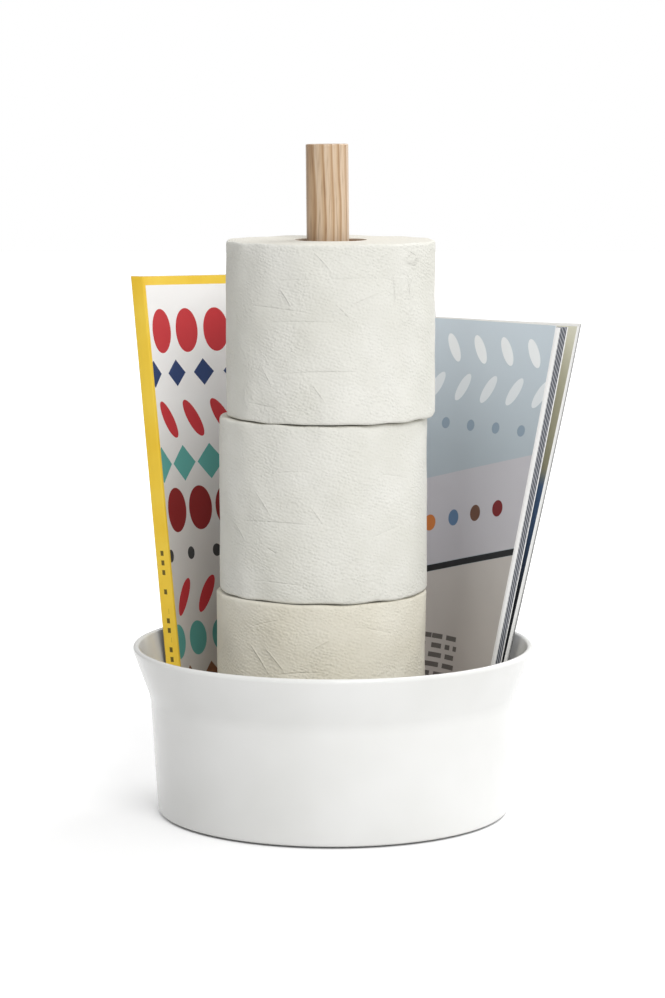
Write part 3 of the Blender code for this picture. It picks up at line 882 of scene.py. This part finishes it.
def repeated(tree, spot, start, pitch):
    """The same spot counted anew in each column of a repeat, so that one motif fills its row."""
    split = add(tree, "ShaderNodeSeparateXYZ", {0: spot})
    column = add(tree, "ShaderNodeMath", {0: split.outputs["X"], 1: start + pitch, 2: start},
                 operation="WRAP")
    return add(tree, "ShaderNodeCombineXYZ", {"X": column, "Y": split.outputs["Y"]})


def bars_over(tree, spot, colour, ink, block, pitch, word):
    """Rows of broken bars, which read as lines of small type from where the camera stands."""
    bar_share, gap_level = 0.52, 0.43
    split = add(tree, "ShaderNodeSeparateXYZ", {0: spot})
    rows = add(tree, "ShaderNodeMath", {0: split.outputs["Y"], 1: pitch}, operation="DIVIDE")
    row = add(tree, "ShaderNodeMath", {0: rows}, operation="FLOOR")
    share = add(tree, "ShaderNodeMath", {0: rows}, operation="FRACT")
    on_row = add(tree, "ShaderNodeMath", {0: share, 1: bar_share}, operation="LESS_THAN")
    along = add(tree, "ShaderNodeMath", {0: split.outputs["X"], 1: word}, operation="DIVIDE")
    where = add(tree, "ShaderNodeCombineXYZ", {"X": along, "Y": row})
    gaps = add(tree, "ShaderNodeTexNoise", {"Vector": where, "Scale": 1.0, "Detail": 0.0})
    on_word = add(tree, "ShaderNodeMath", {0: gaps, 1: gap_level}, operation="GREATER_THAN")
    both = add(tree, "ShaderNodeMath", {0: on_row, 1: on_word}, operation="MULTIPLY")
    inside = add(tree, "ShaderNodeMath", {0: both, 1: mask(tree, spot, *block)}, operation="MULTIPLY")
    return over(tree, colour, inside, ink)


def up_ramp(tree, spot, stops):
    """A colour that changes with the height on the cover, in mm."""
    ramp_top = 300.0
    up = add(tree, "ShaderNodeSeparateXYZ", {0: spot}).outputs["Y"]
    share = add(tree, "ShaderNodeMath", {0: up, 1: ramp_top}, operation="DIVIDE")
    return add(tree, "ShaderNodeValToRGB", {"Fac": share},
               [(height / ramp_top, ink) for height, ink in stops])


def coated(tree, shader, spot, colour):
    """Links a printed colour and the slight waviness of coated paper."""
    wave = add(tree, "ShaderNodeTexNoise", {"Vector": spot, "Scale": 0.05, "Detail": 1.0})
    bump = add(tree, "ShaderNodeBump", {"Height": wave, "Strength": 0.15, "Distance": 0.002})
    wire(tree, shader, colour, bump)


print("ink tools ready")

# %% Cover of the large magazine
red, navy, teal, soot = "#C8343A", "#2A3F6E", "#5FA79F", "#3F3E3D"
large_cover, tree, shader = new_material("yellow-bordered coated cover", {
    "Roughness": 0.42, "Specular IOR Level": 0.3,
})
spot = add(tree, "ShaderNodeUVMap", uv_map="print")
cloud = add(tree, "ShaderNodeTexNoise", {"Vector": spot, "Scale": 0.03, "Detail": 2.0})
colour = add(tree, "ShaderNodeValToRGB", {"Fac": cloud}, [(0.3, "#F3C93A"), (0.7, "#F8D54E")])
panel = up_ramp(tree, spot, [(0, "#D3CDC6"), (160, "#DFDCD8"), (212, "#F6F5F4"), (281, "#F9F8F7")])
panel = shapes_over(tree, repeated(tree, spot, 3.0, 22.0), panel, [
    (red, [("disc", 14, 250, 8.8, 12.5, 0), ("disc", 14, 200, 4.4, 12.5, 35)]),
    ("#8C211F", [("disc", 14, 149, 9.6, 12.5, 0)]),
    (red, [("disc", 14, 100, 4.2, 12.0, -35)]),
    ("#8A5A3C", [("block", 14, 54, 5.4, 5.4, 45)]),
])
panel = shapes_over(tree, repeated(tree, spot, 14.0, 22.0), panel, [
    (navy, [("block", 25, 226, 5.4, 5.4, 45)]),
    (teal, [("block", 25, 175, 7.2, 7.2, 45), ("disc", 25, 76, 8.4, 9.6, 0)]),
    (soot, [("disc", 25, 124, 3.2, 3.6, 0)]),
])
colour = over(tree, colour, mask(tree, spot, "block", 96.0, 140.5, 94.0, 135.5, 0), panel)
colour = over(tree, colour, mask(tree, spot, "block", -102.5, 140.5, 93.0, 140.5, 0), "#3F4246")
colour = bars_over(tree, spot, colour, "#6B5D22", ("block", -3.7, 95.5, 0.9, 33.5, 0), 5.4, 20.0)
colour = bars_over(tree, spot, colour, "#9B8CA0", ("block", -105, 200, 60, 40, 0), 6.0, 6.0)
coated(tree, shader, spot, colour)
print("large cover printed with", len(tree.nodes), "nodes")

# %% Cover of the small magazine
small_cover, tree, shader = new_material("blue-grey coated cover", {"Roughness": 0.42, "IOR": 1.5})
spot = add(tree, "ShaderNodeUVMap", uv_map="print")
colour = up_ramp(tree, spot, [(130, "#B0B9C0"), (185, "#B3BEC6"), (257, "#CBD6DF")])
colour = shapes_over(tree, repeated(tree, spot, 6.0, 20.0), colour, [
    ("#EFF2F4", [("disc", 16, 241, 3.4, 9.0, 32)]),
    ("#8FA0B0", [("disc", 16, 198, 3.0, 3.2, 0)]),
])
colour = shapes_over(tree, repeated(tree, spot, 16.0, 20.0), colour, [
    ("#E2E7EB", [("disc", 26, 219, 3.4, 9.0, -32)]),
])
colour = shapes_over(tree, spot, colour, [
    ("#C6C4CA", [("block", 100, 138, 140, 25, 14)]),
    ("#25272A", [("block", 100, 110, 140, 1.8, 14)]),
    ("#C9C4C0", [("block", 100, 74, 140, 33, 14)]),
    ("#A06A67", [("block", 100, 3, 140, 38, 14)]),
    ("#7A2226", [("disc", 96, 136, 4.2, 4.6, 0), ("disc", 168, 154, 4.2, 4.6, 0)]),
    ("#CF7C40", [("disc", 114, 140.5, 4.2, 4.6, 0)]),
    ("#5E7B9C", [("disc", 132, 145, 4.2, 4.6, 0)]),
    ("#6B4B3B", [("disc", 150, 149.5, 4.2, 4.6, 0)]),
    ("#3A3E45", [("block", -105, 128.5, 96, 129, 0)]),
    ("#B9BEC4", [("block", -105, 205, 60, 14, 0), ("ring", -105, 110, 38, 38, 0)]),
])
colour = bars_over(tree, spot, colour, "#6C6865", ("block", 128, 67, 24, 13.5, 0), 5.4, 6.5)
coated(tree, shader, spot, colour)
print("small cover printed with", len(tree.nodes), "nodes")

# %% [markdown]
# ## Page edges
#
# From the side a stack of pages shows what is printed up to its edge: white margins,
# bands of dark pictures, and one inner page that stands open. A page is 0.1 mm thick,
# too fine to show, so the leaves are drawn 0.35 mm apart and the dark band slants.

# %% Trimmed page edges
leaf_pitch = 0.35


def leaf_edges(tree, spot, shadow):
    """White paper with the dark lines between the leaves of a stack."""
    across = add(tree, "ShaderNodeSeparateXYZ", {0: spot}).outputs["X"]
    leaf = add(tree, "ShaderNodeMath", {0: across, 1: leaf_pitch}, operation="DIVIDE")
    leaf = add(tree, "ShaderNodeTexNoise", {"W": leaf, "Scale": 1.5}, noise_dimensions="1D")
    return add(tree, "ShaderNodeValToRGB", {"Fac": leaf}, [(0.35, shadow), (0.6, "#F0EFED")])


fore_edge, tree, shader = new_material("trimmed coated pages", {"Roughness": 0.6})
spot = add(tree, "ShaderNodeUVMap", uv_map="print")
split = add(tree, "ShaderNodeSeparateXYZ", {0: spot})
slant = add(tree, "ShaderNodeMath", {0: split.outputs["X"], 1: 2.2, 2: split.outputs["Y"]},
            operation="MULTIPLY_ADD")
hatch = add(tree, "ShaderNodeMath", {0: slant, 1: 2.1}, operation="MULTIPLY")
hatch = add(tree, "ShaderNodeMath", {0: hatch}, operation="SINE")
band = add(tree, "ShaderNodeValToRGB", {"Fac": hatch}, [(0.25, "#50535A"), (0.75, "#9C9DA2")])
paper = leaf_edges(tree, spot, "#CFCFCD")
colour = over(tree, paper, mask(tree, spot, "block", 4.1, 128.0, 1.5, 140.0, 0), band)
colour = over(tree, colour, mask(tree, spot, "block", 9.2, 128.0, 0.55, 140.0, 0), "#2E3136")
wire(tree, shader, colour)

white_edge, tree, shader = new_material("trimmed white pages", {"Roughness": 0.6})
spot = add(tree, "ShaderNodeUVMap", uv_map="print")
wire(tree, shader, leaf_edges(tree, spot, "#D3D2CF"))
print("page edges ready")

# %% Inner pages
open_page, tree, shader = new_material("printed inner page", {"Roughness": 0.5})
spot = add(tree, "ShaderNodeUVMap", uv_map="print")
colour = up_ramp(tree, spot, [
    (0, "#1F2226"), (110, "#23272D"), (150, "#3B5270"), (168, "#445C7A"), (178, "#8F8C74"), (225, "#AFAC95"),
    (257, "#CFCDBB"),
])
coated(tree, shader, spot, colour)

plain_page, tree, shader = new_material("plain inner page", {"Roughness": 0.5})
spot = add(tree, "ShaderNodeUVMap", uv_map="print")
tone = add(tree, "ShaderNodeTexNoise", {"Vector": spot, "Scale": 0.02})
colour = add(tree, "ShaderNodeValToRGB", {"Fac": tone}, [(0.3, "#E9E8E5"), (0.7, "#F1F0EE")])
coated(tree, shader, spot, colour)
print("inner pages ready")

# %% Magazines in place
large_sheet = (large_width, large_length)
small_sheet = (small_width, small_length)
large_depths = (page_inset, large_thickness - page_inset)
for piece, body, node, slot in (
    (folded_cover("yellow_magazine_cover", *large_sheet, large_thickness, place_large,
                  (large_cover, plain_page, white_edge)),
     "large_magazine", "large_magazine_cover", "yellow_cover"),
    (page_block("yellow_magazine_pages", *large_sheet, large_depths, (0, 0), place_large,
                (plain_page, plain_page, white_edge)),
     "large_magazine", "large_magazine_pages", "magazine_pages"),
    (folded_cover("blue_magazine_cover", *small_sheet, small_thickness, place_small,
                  (small_cover, plain_page, fore_edge)),
     "small_magazine", "small_magazine_cover", "blue_cover"),
    (page_block("blue_magazine_pages", *small_sheet, (page_inset, 0.0061), (0, 0.4), place_small_page,
                (plain_page, plain_page, fore_edge)),
     "small_magazine", "small_magazine_pages", "magazine_pages"),
    (page_block("blue_magazine_rear_pages", *small_sheet, (0.0064, 0.0089), (1, 1), place_small_page,
                (open_page, plain_page, fore_edge)),
     "small_magazine", "small_magazine_rear_pages", "magazine_pages"),
):
    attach(piece, body)
    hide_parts(node)
